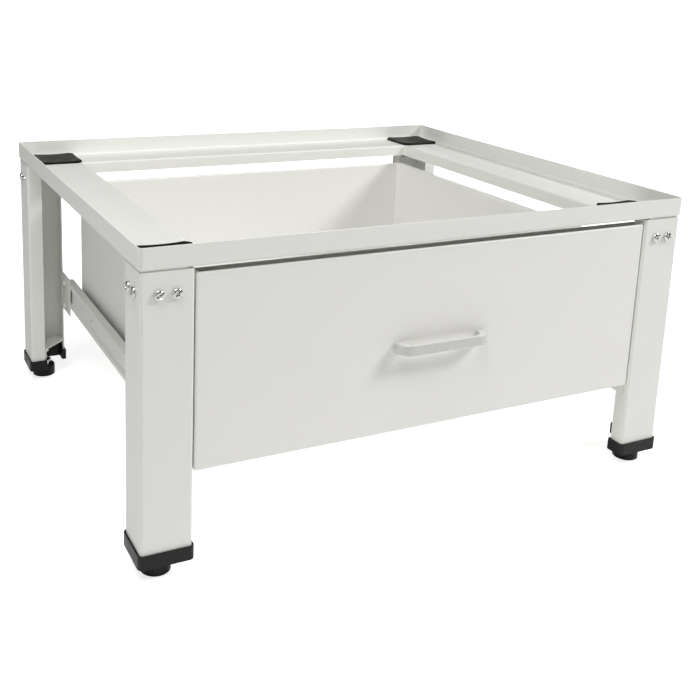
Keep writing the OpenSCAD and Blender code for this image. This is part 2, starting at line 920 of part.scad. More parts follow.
runner_inner(false);  // runner_inner_left
runner_inner(true);  // runner_inner_right
runner_screws();
drawer_front();
drawer_inner_front();
drawer_side(false);  // drawer_side_left
drawer_side(true);  // drawer_side_right
drawer_back();
drawer_floor();
front_nuts();
handle();
handle_screws();
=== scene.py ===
"""Looks of a washing machine pedestal with a drawer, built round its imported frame.

Everything is in metres, +Z up, with the front towards -Y. A shape at a corner is drawn from the rim's
corner inwards, and is placed at each of the four corners by the same functions.
"""
import json
import math

import bmesh
import bpy
from mathutils import Matrix, Vector

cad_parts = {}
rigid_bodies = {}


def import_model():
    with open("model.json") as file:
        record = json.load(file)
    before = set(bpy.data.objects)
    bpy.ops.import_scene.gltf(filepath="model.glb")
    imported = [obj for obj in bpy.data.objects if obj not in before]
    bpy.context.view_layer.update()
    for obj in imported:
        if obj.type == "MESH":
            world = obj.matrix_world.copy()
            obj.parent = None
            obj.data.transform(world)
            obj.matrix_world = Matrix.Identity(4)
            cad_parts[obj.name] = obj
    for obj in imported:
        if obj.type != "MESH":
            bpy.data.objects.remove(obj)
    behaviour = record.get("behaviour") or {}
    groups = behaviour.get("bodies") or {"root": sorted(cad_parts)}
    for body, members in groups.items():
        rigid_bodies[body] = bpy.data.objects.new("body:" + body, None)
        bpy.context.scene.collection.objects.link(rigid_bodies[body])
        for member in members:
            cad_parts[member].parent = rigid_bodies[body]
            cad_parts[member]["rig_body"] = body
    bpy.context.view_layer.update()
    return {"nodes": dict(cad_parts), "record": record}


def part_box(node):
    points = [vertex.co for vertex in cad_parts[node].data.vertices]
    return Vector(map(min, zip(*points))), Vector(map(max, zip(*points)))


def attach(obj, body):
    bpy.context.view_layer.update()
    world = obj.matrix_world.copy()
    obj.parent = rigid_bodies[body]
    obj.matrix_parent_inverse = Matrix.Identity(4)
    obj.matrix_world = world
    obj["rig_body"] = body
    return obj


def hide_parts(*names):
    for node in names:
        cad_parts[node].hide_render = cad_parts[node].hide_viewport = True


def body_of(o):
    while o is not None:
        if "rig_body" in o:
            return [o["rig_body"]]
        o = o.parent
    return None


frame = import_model()
scene = bpy.context.scene

MM = 0.001
ORIGIN = Vector((0, 0))
CORNERS = {"fl": (-1, -1), "fr": (1, -1), "rl": (-1, 1), "rr": (1, 1)}
SIDES = {"left": -1, "right": 1}
SLOT_OF = {part["node"]: part["material_slot"] for part in frame["record"]["subparts"]}

# ---------- sizes ----------

# Meshes: the gap that joins two points, the shortest edge kept, and angles in degrees past which an edge
# is rounded or shaded sharp. A turn below STRAIGHT, in radians, is no corner.
JOINED = 0.002 * MM
SHORTEST = 0.001 * MM
SOFTENED_ANGLE = 40
SMOOTH_ANGLE = 35
STRAIGHT = 1e-4

# Sheet metal: steps of a bend, the softening of a cut edge, and the points that a cut end has
BEND_STEPS = 5
SHEET_EDGE = 0.35 * MM
FINE_EDGE = 0.2 * MM
END_POINTS = 6

# Rim
RIM_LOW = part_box("rim_left")[0]
RIM_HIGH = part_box("rim_right")[1]
HALF_W = RIM_HIGH.x
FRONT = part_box("rim_front")[0].y
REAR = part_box("rim_rear")[1].y
RIM_SHEET = 1.5 * MM
RIM_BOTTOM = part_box("rubber_pad_fl")[0].z - RIM_SHEET
SIDE_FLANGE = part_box("rim_left")[1].x - RIM_LOW.x
END_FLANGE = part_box("rim_front")[1].y - FRONT
RIM_BEND = 2.5 * MM
RIM_CORNER = 4.5 * MM
RIM_CORNER_STEPS = 3

# Legs
LEG_SHEET = 1.5 * MM
LEG_BEND = 3 * MM
LEG_LIP = 18 * MM
SCREW_PITCH = 16.5 * MM

# Foot caps
CAP_WALL = 2 * MM
CAP_FLOOR = 2 * MM
CAP_GAP = 0.2 * MM
CAP_H = 13.5 * MM
CAP_END = 0.8 * MM
CAP_EDGE = 0.35 * MM

# Levelling feet
FOOT_ROUND = 3 * MM
FOOT_CHAMFER = 0.6 * MM
FOOT_SEGMENTS = 48

# Runners
RUNNER_SHEET = 1.2 * MM
RUNNER_BEND = 2 * MM
WEB_SINK = 2.5 * MM
WEB_BAND = 6 * MM
WEB_SLOPE = 4 * MM
BALL_LIP = 3 * MM
WEB_HOLE = 5 * MM
WEB_HOLE_SHARES = (0.08, 0.4, 0.78)
WEB_HOLE_SEGMENTS = 24

# Drawer
DRAWER_SHEET = 1.2 * MM
DRAWER_BEND = 2 * MM
FRONT_EDGE = 15 * MM
FRONT_TOP_EDGE = 2.5 * MM
FRONT_CORNER = 1.6 * MM
FRONT_NOTCH = 3 * MM
SMALLEST_CORNER = 0.02 * MM
FRONT_CORNER_STEPS = 4
INNER_FRONT_CORNER = 1 * MM
INNER_FRONT_EDGE = 0.3 * MM
WALL_BEND = 3 * MM

# Handle
HANDLE_T = 4 * MM
HANDLE_FOOT = 9.5 * MM
HANDLE_R = 14 * MM
HANDLE_EDGE = 0.9 * MM

# Rubber pads
PAD_CUT = 5 * MM
PAD_DISH = 2.3 * MM
PAD_ROUND = 1.5 * MM
PAD_EDGE = 0.9 * MM
PAD_STEP = 3 * MM
PAD_RINGS = 10

# Leg screws. The dome is a share of the head's rise, and the tip's sizes are shares of the shank's radius.
SCREW_D = 6 * MM
SCREW_HEAD = 10 * MM
SCREW_RISE = 3.2 * MM
SCREW_LENGTH = 10 * MM
SCREW_DOME = 0.6
TIP_RADIUS = 0.7
TIP_LENGTH = 0.3
SCREW_SEGMENTS = 32
SCREW_SMOOTH_ANGLE = 40

# Cross recess: arm and width as shares of the head's radius, and depth as one of its rise. Each bar narrows
# from its top to its bottom. The centre's radii are shares of a bar's width, and its depth one of a bar's.
RECESS_ARM = 0.66
RECESS_WIDTH = 0.28
RECESS_DEPTH = 0.7
RECESS_RISE = 0.1
BAR_BOTTOM = 0.45
BAR_TOP = 1.05
CENTRE_BOTTOM = 0.5
CENTRE_TOP = 1.1
CENTRE_DEPTH = 1.2
CENTRE_RISE = 1.05
CENTRE_SEGMENTS = 12

# How far the screws are turned in, in radians: the first, and what each leg, screw and side face adds
FIRST_TURN = 0.5
TURN_PER_LEG = 0.9
TURN_PER_SCREW = 0.35
TURN_PER_SIDE = 0.6

# Room. The floor's glow rises from near to far between two distances from the object's middle.
FLOOR_REACH = 12
FLOOR_DARK = 0.89
FLOOR_LIGHT = 0.91
FLOOR_PATCHES = 3
FLOOR_ROUGH = 0.8
GLOW_FROM = 0.3
GLOW_TO = 1.6
FLOOR_BOUNCE = 0.16
FLOOR_GLOW_NEAR = 0.55
FLOOR_GLOW_FAR = 0.95
ROOM_SEEN = 1.05
ROOM_LIGHT = 0.06

# Soft boxes: place, target, side length, and power in watts
LIGHTS = {
    "key": ((1.6, -1.1, 1.6), (0, 0, 0.15), 0.5, 30),
    "upper_left": ((-0.5, -0.4, 1.5), (0, 0, 0.2), 1.0, 13.5),
    "front_left": ((-1.8, -1.0, 0.9), (0, 0, 0.2), 1.2, 4),
    "rear_left": ((-1.8, 0.2, 0.8), (0, 0, 0.2), 1.2, 1.8),
    "rear_right": ((1.3, 2.1, 0.45), (0, 0, 0.15), 0.7, 9),
}

# Camera: angles in degrees, lens in mm, and shift as a share of the picture's width
CAMERA_PLACE = (-0.5508, -1.0408, 0.5532)
CAMERA_YAW = 26.47
CAMERA_PITCH = 12.39
CAMERA_ROLL = 2.0
CAMERA_LENS = 51.05
CAMERA_SHIFT_X = 0.0675
CAMERA_SHIFT_Y = -0.2299

# ---------- materials ----------

# Where most of a noise texture's values lie
NOISE_LOW = 0.3
NOISE_HIGH = 0.7

# Each finish has the shade of its other patches, its swing of roughness, and its noises. A noise's scale is
# in features per metre, and the depth of a bump is in metres.
COAT_SHADE = 0.985
COAT_SWING = 0.05
COAT_ROUGH = 0.1
COAT_CLOUDS = 14
COAT_SHEEN = 45
WAVES, WAVE_DEPTH = 90, 0.00006
PEEL, PEEL_DEPTH = 900, 0.00002

METAL_SHADE = 0.9
METAL_SWING_DOWN = 0.07
METAL_SWING_UP = 0.09
METAL_MOTTLE = 120
MARKS, MARK_DEPTH = 1600, 0.00003

PLASTIC_SHADE = 0.8
PLASTIC_SWING = 0.06
PLASTIC_PATCHES = 60
GRAIN, GRAIN_DEPTH = 2200, 0.00004

# Rubber's lighter patches are partly a dusty bloom and partly a painted sheen in its colour.
RUBBER_SHADE = 1.7
RUBBER_PATCH_LIFT = 0.001
RUBBER_SWING = 0.08
RUBBER_DUST_AND_SHEEN = 70
FOLDS, FOLD_DEPTH = 60, 0.0008
RUBBER_GRAIN, RUBBER_GRAIN_DEPTH = 1500, 0.00005


def start_material(name):
    """A new node material, with its shader and the texture coordinates of the piece itself."""
    material = bpy.data.materials.new(name)
    material.use_nodes = True
    nodes = material.node_tree.nodes
    shader = nodes["Principled BSDF"]
    place = nodes.new("ShaderNodeTexCoord").outputs["Object"]
    return material, shader, place


def noise(material, place, scale, detail=2.0, stretch=(1, 1, 1)):
    """A noise texture's factor. scale is in features per metre, and stretch multiplies it per axis."""
    nodes, links = material.node_tree.nodes, material.node_tree.links
    mapping = nodes.new("ShaderNodeMapping")
    mapping.inputs["Scale"].default_value = stretch
    texture = nodes.new("ShaderNodeTexNoise")
    texture.inputs["Scale"].default_value = scale
    texture.inputs["Detail"].default_value = detail
    links.new(place, mapping.inputs["Vector"])
    links.new(mapping.outputs["Vector"], texture.inputs["Vector"])
    return texture.outputs["Fac"]


def blend_colours(material, factor, dark, light):
    """A colour that runs from dark to light with the factor."""
    nodes, links = material.node_tree.nodes, material.node_tree.links
    mix = nodes.new("ShaderNodeMix")
    mix.data_type = "RGBA"
    mix.inputs["A"].default_value = (*dark, 1)
    mix.inputs["B"].default_value = (*light, 1)
    links.new(factor, mix.inputs["Factor"])
    return mix.outputs["Result"]


def spread(material, factor, low, high):
    """The factor, moved from where most of its values lie to low .. high."""
    nodes, links = material.node_tree.nodes, material.node_tree.links
    ranged = nodes.new("ShaderNodeMapRange")
    ranged.inputs["From Min"].default_value = NOISE_LOW
    ranged.inputs["From Max"].default_value = NOISE_HIGH
    ranged.inputs["To Min"].default_value = low
    ranged.inputs["To Max"].default_value = high
    links.new(factor, ranged.inputs["Value"])
    return ranged.outputs["Result"]


def bump(material, shader, height, depth, under=None):
    """Feeds a height to the shader's normal. depth is in metres, and under is a bump below this one."""
    nodes, links = material.node_tree.nodes, material.node_tree.links
    node = nodes.new("ShaderNodeBump")
    node.inputs["Distance"].default_value = depth
    links.new(height, node.inputs["Height"])
    if under is not None:
        links.new(under, node.inputs["Normal"])
    links.new(node.outputs["Normal"], shader.inputs["Normal"])
    return node.outputs["Normal"]


def powder_coat(name, colour, rough, gloss=0.0):
    """Baked powder paint: a very fine orange peel, and a faint cloudiness in shade and gloss.

    gloss is the weight of a clear coat over it.
    """
    material, shader, place = start_material(name)
    links = material.node_tree.links
    clouds = noise(material, place, COAT_CLOUDS, detail=3)
    dark = [c * COAT_SHADE for c in colour]
    links.new(blend_colours(material, clouds, dark, colour), shader.inputs["Base Color"])
    sheen = noise(material, place, COAT_SHEEN, detail=4)
    links.new(spread(material, sheen, rough - COAT_SWING, rough + COAT_SWING), shader.inputs["Roughness"])
    shader.inputs["Coat Weight"].default_value = gloss
    shader.inputs["Coat Roughness"].default_value = COAT_ROUGH
    waves = bump(material, shader, noise(material, place, WAVES, detail=1), WAVE_DEPTH)
    bump(material, shader, noise(material, place, PEEL, detail=2), PEEL_DEPTH, under=waves)
    return material


def rolled_metal(name, colour, rough, stretch=(1, 0.02, 1)):
    """Metal with rolling marks along one axis, and a faint mottle."""
    material, shader, place = start_material(name)
    links = material.node_tree.links
    shader.inputs["Metallic"].default_value = 1.0
    mottle = noise(material, place, METAL_MOTTLE, detail=4)
    dark = [c * METAL_SHADE for c in colour]
    links.new(blend_colours(material, mottle, dark, colour), shader.inputs["Base Color"])
    marks = noise(material, place, MARKS, detail=3, stretch=stretch)
    low, high = rough - METAL_SWING_DOWN, rough + METAL_SWING_UP
    links.new(spread(material, marks, low, high), shader.inputs["Roughness"])
    bump(material, shader, marks, MARK_DEPTH)
    return material


def moulded_plastic(name, colour, rough, specular):
    """Moulded plastic: a fine spark-eroded grain, and slightly uneven gloss."""
    material, shader, place = start_material(name)
    links = material.node_tree.links
    patches = noise(material, place, PLASTIC_PATCHES, detail=3)
    dark = [c * PLASTIC_SHADE for c in colour]
    links.new(blend_colours(material, patches, dark, colour), shader.inputs["Base Color"])
    low, high = rough - PLASTIC_SWING, rough + PLASTIC_SWING
    links.new(spread(material, patches, low, high), shader.inputs["Roughness"])
    shader.inputs["Specular IOR Level"].default_value = specular
    bump(material, shader, noise(material, place, GRAIN, detail=3), GRAIN_DEPTH)
    return material


def rubber(name, colour, rough, specular):
    """Moulded rubber: dull, with lighter patches at random, partly a dusty bloom and partly a painted
    sheen, and a soft grain.
    """
    material, shader, place = start_material(name)
    links = material.node_tree.links
    # Lighter patches at random: partly a dusty bloom, partly a painted sheen on the rubber's colour.
    dust_and_sheen = noise(material, place, RUBBER_DUST_AND_SHEEN, detail=5)
    light = [c * RUBBER_SHADE + RUBBER_PATCH_LIFT for c in colour]
    links.new(blend_colours(material, dust_and_sheen, colour, light), shader.inputs["Base Color"])
    low, high = rough - RUBBER_SWING, rough + RUBBER_SWING
    links.new(spread(material, dust_and_sheen, low, high), shader.inputs["Roughness"])
    shader.inputs["Specular IOR Level"].default_value = specular
    folds = bump(material, shader, noise(material, place, FOLDS, detail=2), FOLD_DEPTH)
    grain = noise(material, place, RUBBER_GRAIN, detail=2)
    bump(material, shader, grain, RUBBER_GRAIN_DEPTH, under=folds)
    return material


MATERIALS = {
    "frame_coat": powder_coat("frame_coat", (0.868, 0.872, 0.828), 0.42),
    # drawer_coat is the frame's paint made a little lighter: painted light, so that the drawer's shaded
    # inside comes out brighter.
    "drawer_coat": powder_coat("drawer_coat", (0.895, 0.887, 0.853), 0.45),
    "handle_coat": powder_coat("handle_coat", (0.64, 0.637, 0.62), 0.26, gloss=0.8),
    "runner_coat": powder_coat("runner_coat", (0.80, 0.80, 0.77), 0.38),
    "runner_steel": rolled_metal("runner_steel", (0.72, 0.73, 0.74), 0.30),
    "zinc": rolled_metal("zinc", (0.75, 0.75, 0.74), 0.14, stretch=(1, 1, 1)),
    "black_plastic": moulded_plastic("black_plastic", (0.008, 0.008, 0.008), 0.34, 0.28),
    "black_rubber": rubber("black_rubber", (0.004, 0.004, 0.003), 0.42, 0.14),
}

# ---------- outlines ----------


def left_of(v):
    """The direction a quarter turn to the left of a plane vector."""
    return Vector((-v.y, v.x))


def arc(centre, start, turn, steps):
    """Points round centre, from the offset start through the angle turn."""
    points = []
    for k in range(steps + 1):
        angle = turn * k / steps
        c, s = math.cos(angle), math.sin(angle)
        points.append(centre + Vector((start.x * c - start.y * s, start.x * s + start.y * c)))
    return points


def quarter(steps):
    """Angles from 0 to a quarter turn."""
    return [math.pi / 2 * k / steps for k in range(steps + 1)]


def circle(radius, z, centre, count):
    """A ring of points round a vertical axis."""
    turns = [2 * math.pi * i / count for i in range(count)]
    return [(centre.x + radius * math.cos(a), centre.y + radius * math.sin(a), z) for a in turns]


def corner_turn(a, b, c):
    """Unit directions before and after the corner b, and the signed angle between them."""
    before, after = (b - a).normalized(), (c - b).normalized()
    return before, after, math.atan2(before.x * after.y - before.y * after.x, before.dot(after))


def filleted(corners, steps):
    """A closed outline. corners are (x, y, radius), and a radius of 0 leaves a corner sharp."""
    points = []
    count = len(corners)
    for i, (x, y, radius) in enumerate(corners):
        b = Vector((x, y))
        a = Vector(corners[i - 1][:2])
        c = Vector(corners[(i + 1) % count][:2])
        before, _, turn = corner_turn(a, b, c)
        if radius == 0 or abs(turn) < STRAIGHT:
            points.append(b)
            continue
        start = b - before * radius * math.tan(abs(turn) / 2)
        inward = left_of(before) * math.copysign(radius, turn)
        points += arc(start + inward, -inward, turn, steps)
    return points


def bent_sheet(path, t, bend, edge=SHEET_EDGE):
    """Outline of a sheet of thickness t. path is its middle line, and bend its outer bend radius."""
    path = [Vector(p) for p in path]
    radius = bend - t / 2
    first = (path[1] - path[0]).normalized()
    last = (path[-1] - path[-2]).normalized()
    line = []
    for a, b, c in zip(path, path[1:], path[2:]):
        before, _, turn = corner_turn(a, b, c)
        start = b - before * radius * math.tan(abs(turn) / 2)
        normal = left_of(before)
        inward = normal * math.copysign(radius, turn)
        for k, point in enumerate(arc(start + inward, -inward, turn, BEND_STEPS)):
            line.append((point, arc(ORIGIN, normal, turn * k / BEND_STEPS, 1)[1]))
    half = t / 2
    left = [p + n * half for p, n in line]
    right = [p - n * half for p, n in reversed(line)]
    return left + sheet_end(path[-1], last, half, edge) + right + sheet_end(path[0], -first, half, edge)


def sheet_end(point, outward, half, edge):
    """The cut end of a sheet, from its left face round to its right face, with softened edges."""
    normal = left_of(outward)
    soft = edge * (1 - math.cos(math.pi / 4))
    steps = [(edge, 0), (soft, soft), (0, edge)]
    one = [point - outward * back + normal * (half - down) for back, down in steps]
    other = [point - outward * back - normal * (half - down) for back, down in reversed(steps)]
    return one + other


# ---------- meshes ----------


def solid(rings):
    """A mesh through closed rings of points, each joined to the next, its first and last ring filled."""
    bm = bmesh.new()
    rows = [[bm.verts.new(p) for p in ring] for ring in rings]
    count = len(rows[0])
    for low, high in zip(rows, rows[1:]):
        for i in range(count):
            j = (i + 1) % count
            bm.faces.new((low[i], low[j], high[j], high[i]))
    bm.faces.new(rows[0])
    bm.faces.new(rows[-1])
    bmesh.ops.remove_doubles(bm, verts=bm.verts, dist=JOINED)
    bmesh.ops.dissolve_degenerate(bm, edges=bm.edges, dist=SHORTEST)
    bmesh.ops.recalc_face_normals(bm, faces=bm.faces)
    return bm


def extrude(outline, start, end, place):
    """An outline drawn out from start to end. place turns (u, v, w) into a point."""
    return solid([[place(p.x, p.y, w) for p in outline] for w in (start, end)])


def soften(bm, width, steps=2):
    """Rounds every sharp edge."""
    sharpest = math.radians(SOFTENED_ANGLE)
    sharp = [e for e in bm.edges if e.is_manifold and e.calc_face_angle() > sharpest]
    bmesh.ops.bevel(
        bm, geom=sharp, offset=width, segments=steps, profile=0.5, affect="EDGES", clamp_overlap=True
    )
    return bm


def merged(parts):
    """Several meshes as one."""
    whole = bmesh.new()
    for part in parts:
        mesh = bpy.data.meshes.new("part")
        part.to_mesh(mesh)
        part.free()
        whole.from_mesh(mesh)
        bpy.data.meshes.remove(mesh)
    return whole


def cut(bm, cutters):
    """The mesh without the cutters' volumes."""
    objects = []
    for part in (bm, merged(cutters)):
        mesh = bpy.data.meshes.new("part")
        part.to_mesh(mesh)
        part.free()
        objects.append(bpy.data.objects.new("part", mesh))
        scene.collection.objects.link(objects[-1])
    body, tool = objects
    difference = body.modifiers.new("difference", "BOOLEAN")
    difference.object = tool
    difference.solver = "EXACT"
    difference.use_self = True
    depsgraph = bpy.context.evaluated_depsgraph_get()
    result = bmesh.new()
    result.from_object(body, depsgraph)
    for obj in objects:
        mesh = obj.data
        bpy.data.objects.remove(obj)
        bpy.data.meshes.remove(mesh)
    bmesh.ops.remove_doubles(result, verts=result.verts, dist=JOINED)
    bmesh.ops.dissolve_degenerate(result, edges=result.edges, dist=SHORTEST)
    return result


def piece(name, bm, node, smooth_angle=SMOOTH_ANGLE):
    """Makes an object of the mesh, which stands for the CAD node: the same body, slot and finish."""
    bmesh.ops.triangulate(bm, faces=[face for face in bm.faces if len(face.verts) > 4])
    mesh = bpy.data.meshes.new(name)
    bm.to_mesh(mesh)
    bm.free()
    mesh.shade_smooth()
    mesh.set_sharp_from_angle(angle=math.radians(smooth_angle))
    obj = bpy.data.objects.new(name, mesh)
    scene.collection.objects.link(obj)
    weighted = obj.modifiers.new("weighted", "WEIGHTED_NORMAL")
    weighted.keep_sharp = True
    slot = SLOT_OF[node]
    mesh.materials.append(MATERIALS[slot])
    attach(obj, body_of(frame["nodes"][node])[0])
    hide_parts(node)
    return obj


def at_corner(key):
    """A function that turns (u, v, z), measured inwards from the rim's corner, into a point."""
    sx, sy = CORNERS[key]

    def place(u, v, z):
        y = FRONT + v if sy < 0 else REAR - v
        return (sx * (HALF_W - u), y, z)

    return place


def at_side(side):
    """A function that turns (u, z, y), with u measured inwards from the rim's side face, into a point."""

    def place(u, z, y):
        return (SIDES[side] * (HALF_W - u), y, z)

    return place


# ---------- rim ----------


def corner_points(corner, inset, towards, share):
    """Points round a corner of the rim, from its mitre to the rail whose side faces the angle towards.

    inset is a point's distance from the outer face. share is where its mitre point lies between the
    round corner's centre, 0, and the corner of the window, 1.
    """
    sx, sy = corner
    steps = RIM_CORNER_STEPS
    edge_y = FRONT if sy < 0 else REAR
    radius = RIM_CORNER - inset
    if radius <= 0:
        u = RIM_CORNER + share * (SIDE_FLANGE - RIM_CORNER)
        v = RIM_CORNER + share * (END_FLANGE - RIM_CORNER)
        return [(sx * (HALF_W - u), edge_y - sy * v)] * (steps + 1)
    points = []
    for k in range(steps + 1):
        angle = math.radians(45 + (towards - 45) * k / steps)
        u = RIM_CORNER - radius * math.cos(angle)
        v = RIM_CORNER - radius * math.sin(angle)
        points.append((sx * (HALF_W - u), edge_y - sy * v))
    return points


def rim_rail(name, node, start, end, towards, flange, drop):
    """A rail between two mitres: an upright lip, a flange and a turned-down edge, in one bent sheet."""
    half = RIM_SHEET / 2
    lip_top = RIM_HIGH.z - RIM_BOTTOM
    outline = bent_sheet(
        [(half, lip_top), (half, half), (flange - half, half), (flange - half, RIM_SHEET - drop)],
        RIM_SHEET, RIM_BEND,
    )
    lines = []
    for p in outline:
        share = (p.x - RIM_CORNER) / (flange - RIM_CORNER)
        first = corner_points(start, p.x, towards, share)
        last = corner_points(end, p.x, towards, share)
        lines.append([(x, y, RIM_BOTTOM + p.y) for x, y in first + last[::-1]])
    return piece(name, solid(list(zip(*lines))), node)


def make_rim():
    drop = RIM_BOTTOM + RIM_SHEET - RIM_LOW.z
    fl, fr, rl, rr = (CORNERS[k] for k in ("fl", "fr", "rl", "rr"))
    rim_rail("rim_front_rail", "rim_front", fl, fr, 90, END_FLANGE, drop)
    rim_rail("rim_rear_rail", "rim_rear", rl, rr, 90, END_FLANGE, drop)
    rim_rail("rim_left_rail", "rim_left", rl, fl, 0, SIDE_FLANGE, drop)
    rim_rail("rim_right_rail", "rim_right", rr, fr, 0, SIDE_FLANGE, drop)


# ---------- legs ----------


def leg_box(key):
    """A leg's distance from the rim's two faces, its two widths, and its lower and upper end."""
    low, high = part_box("leg_" + key)
    sx, sy = CORNERS[key]
    u = HALF_W + low.x if sx < 0 else HALF_W - high.x
    v = low.y - FRONT if sy < 0 else REAR - high.y
    return u, v, high.x - low.x, high.y - low.y, low.z, high.z


def leg_path(key):
    """Middle line of a leg's sheet, from lip to lip."""
    u, v, w, d, _, _ = leg_box(key)
    half = LEG_SHEET / 2
    return [
        (u + w - half, v + LEG_LIP), (u + w - half, v + half), (u + half, v + half),
        (u + half, v + d - half), (u + LEG_LIP, v + d - half),
    ]


def make_leg(key):
    low, high = leg_box(key)[4:]
    outline = bent_sheet(leg_path(key), LEG_SHEET, LEG_BEND)
    piece(f"leg_{key}_sheet", extrude(outline, low, high, at_corner(key)), "leg_" + key)


# ---------- foot caps and foot pads ----------


def make_foot_cap(key):
    """Boot round a leg's end: an outer wall, a floor, and an inner wall that reaches the gusset."""
    place = at_corner(key)
    path = [Vector(p) for p in leg_path(key)]
    low, high = (corner.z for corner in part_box("foot_cap_" + key))
    grown = CAP_GAP + CAP_WALL
    longer = [path[0] + Vector((0, CAP_WALL)), *path[1:-1], path[-1] + Vector((CAP_WALL, 0))]
    outer = bent_sheet(longer, LEG_SHEET + 2 * grown, LEG_BEND + grown, edge=CAP_END)
    slot = bent_sheet(path, LEG_SHEET + 2 * CAP_GAP, LEG_BEND + CAP_GAP, edge=CAP_END)
    inner_side = range(len(outer) // 2, len(outer) - END_POINTS)
    tops = [high if i in inner_side else low + CAP_H for i in range(len(outer))]
    rings = [
        [place(p.x, p.y, low) for p in outer],
        [place(p.x, p.y, z) for p, z in zip(outer, tops)],
        [place(p.x, p.y, z) for p, z in zip(slot, tops)],
        [place(p.x, p.y, low + CAP_FLOOR) for p in slot],
    ]
    piece(f"foot_cap_{key}_moulding", soften(solid(rings), CAP_EDGE), "foot_cap_" + key)


def make_foot_pad(key):
    """Round foot with a soft upper edge and a small chamfer where it meets the floor."""
    low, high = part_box("foot_pad_" + key)
    centre = (low + high) / 2
    radius = (high.x - low.x) / 2
    r = FOOT_ROUND
    profile = [(radius - FOOT_CHAMFER, 0), (radius, FOOT_CHAMFER)]
    for angle in quarter(6):
        profile.append((radius - r + r * math.cos(angle), high.z - r + r * math.sin(angle)))
    rings = [circle(out, z, centre, FOOT_SEGMENTS) for out, z in profile]
    piece(f"foot_pad_{key}_moulding", solid(rings), "foot_pad_" + key)


# ---------- rubber pads ----------


def make_rubber_pad(key):
    """Square pad with cut corners. Its round dish runs out over the sides, so the corners stand up."""
    low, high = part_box("rubber_pad_" + key)
    centre = (low + high) / 2
    half = (high.x - low.x) / 2
    thick = high.z - low.z
    cut_to = half - PAD_CUT
    corners = []
    for sx, sy in ((1, 1), (-1, 1), (-1, -1), (1, -1)):
        pair = [(sx * half, sy * cut_to, PAD_ROUND), (sx * cut_to, sy * half, PAD_ROUND)]
        corners += pair if sx * sy > 0 else pair[::-1]
    outline = subdivided(filleted(corners, steps=3), PAD_STEP)
    reach = max(p.length for p in outline)

    def dish(p):
        return low.z + thick - PAD_DISH * (1 - min(1, p.length / reach) ** 2)

    rings = [[(centre.x + p.x, centre.y + p.y, low.z) for p in outline]]
    for angle in quarter(3):
        inward = 1 - PAD_EDGE * (1 - math.cos(angle)) / half
        fall = PAD_EDGE * (1 - math.sin(angle))
        rings.append([(centre.x + p.x * inward, centre.y + p.y * inward, dish(p) - fall) for p in outline])
    for k in range(PAD_RINGS - 1, 0, -1):
        share = k / PAD_RINGS
        rings.append([(centre.x + p.x * share, centre.y + p.y * share, dish(p * share)) for p in outline])
    piece(f"rubber_pad_{key}_moulding", solid(rings), "rubber_pad_" + key)


def subdivided(outline, longest):
    """The outline with extra points, so that no side is longer than the given length."""
    points = []
    for a, b in zip(outline, outline[1:] + outline[:1]):
        parts = max(1, math.ceil((b - a).length / longest))
        points += [a.lerp(b, k / parts) for k in range(parts)]
    return points


# ---------- screws ----------


def pan_screw():
    """Pan-head screw along +Z, its head above z = 0: a domed head with a cross recess, and a shank."""
    head, rise, shank = SCREW_HEAD / 2, SCREW_RISE, SCREW_D / 2
    dome = rise * SCREW_DOME
    tip = [(shank * TIP_RADIUS, -SCREW_LENGTH), (shank, -SCREW_LENGTH + shank * TIP_LENGTH)]
    profile = tip + [(shank, 0), (head, 0), (head, rise - dome)]
    for angle in quarter(6)[1:]:
        profile.append((head - dome + dome * math.cos(angle), rise - dome + dome * math.sin(angle)))
    body = solid([circle(r, z, ORIGIN, SCREW_SEGMENTS) for r, z in profile])
    arm, width, depth = head * RECESS_ARM, head * RECESS_WIDTH, rise * RECESS_DEPTH
    low, high = rise - depth, rise + depth * RECESS_RISE
    bars = [recess_bar(arm, width, low, high, turn) for turn in (0, math.pi / 2)]
    centre = [
        (width * CENTRE_BOTTOM, rise - depth * CENTRE_DEPTH),
        (width * CENTRE_TOP, rise * CENTRE_RISE),
    ]
    centre_hole = solid([circle(r, z, ORIGIN, CENTRE_SEGMENTS) for r, z in centre])
    return cut(body, bars + [centre_hole])


def recess_bar(arm, width, low, high, turn):
    """One bar of a cross recess, which narrows towards its lower end."""
    c, s = math.cos(turn), math.sin(turn)
    rings = []
    for z, scale in ((low, BAR_BOTTOM), (high, BAR_TOP)):
        box = [(sx * arm * scale, sy * width / 2) for sx, sy in ((1, 1), (-1, 1), (-1, -1), (1, -1))]
        rings.append([(x * c - y * s, x * s + y * c, z) for x, y in box])
    return solid(rings)


def make_screws(name, node, places):
    """All screws of one node. places are matrices that put a screw's axis at its hole."""
    master = bpy.data.meshes.new(name + "_master")
    bm = pan_screw()
    bm.to_mesh(master)
    bm.free()
    whole = bmesh.new()
    for matrix in places:
        before = len(whole.verts)
        whole.from_mesh(master)
        whole.verts.ensure_lookup_table()
        bmesh.ops.transform(whole, matrix=matrix, verts=whole.verts[before:])
    bpy.data.meshes.remove(master)
    piece(name, whole, node, smooth_angle=SCREW_SMOOTH_ANGLE)


def aimed(position, direction, turn=0.0):
    """Matrix that puts a screw's head at position, facing direction, turned about its axis."""
    rotation = Vector(direction).to_track_quat("Z", "Y").to_matrix().to_4x4()
    return Matrix.Translation(position) @ rotation @ Matrix.Rotation(turn, 4, "Z")


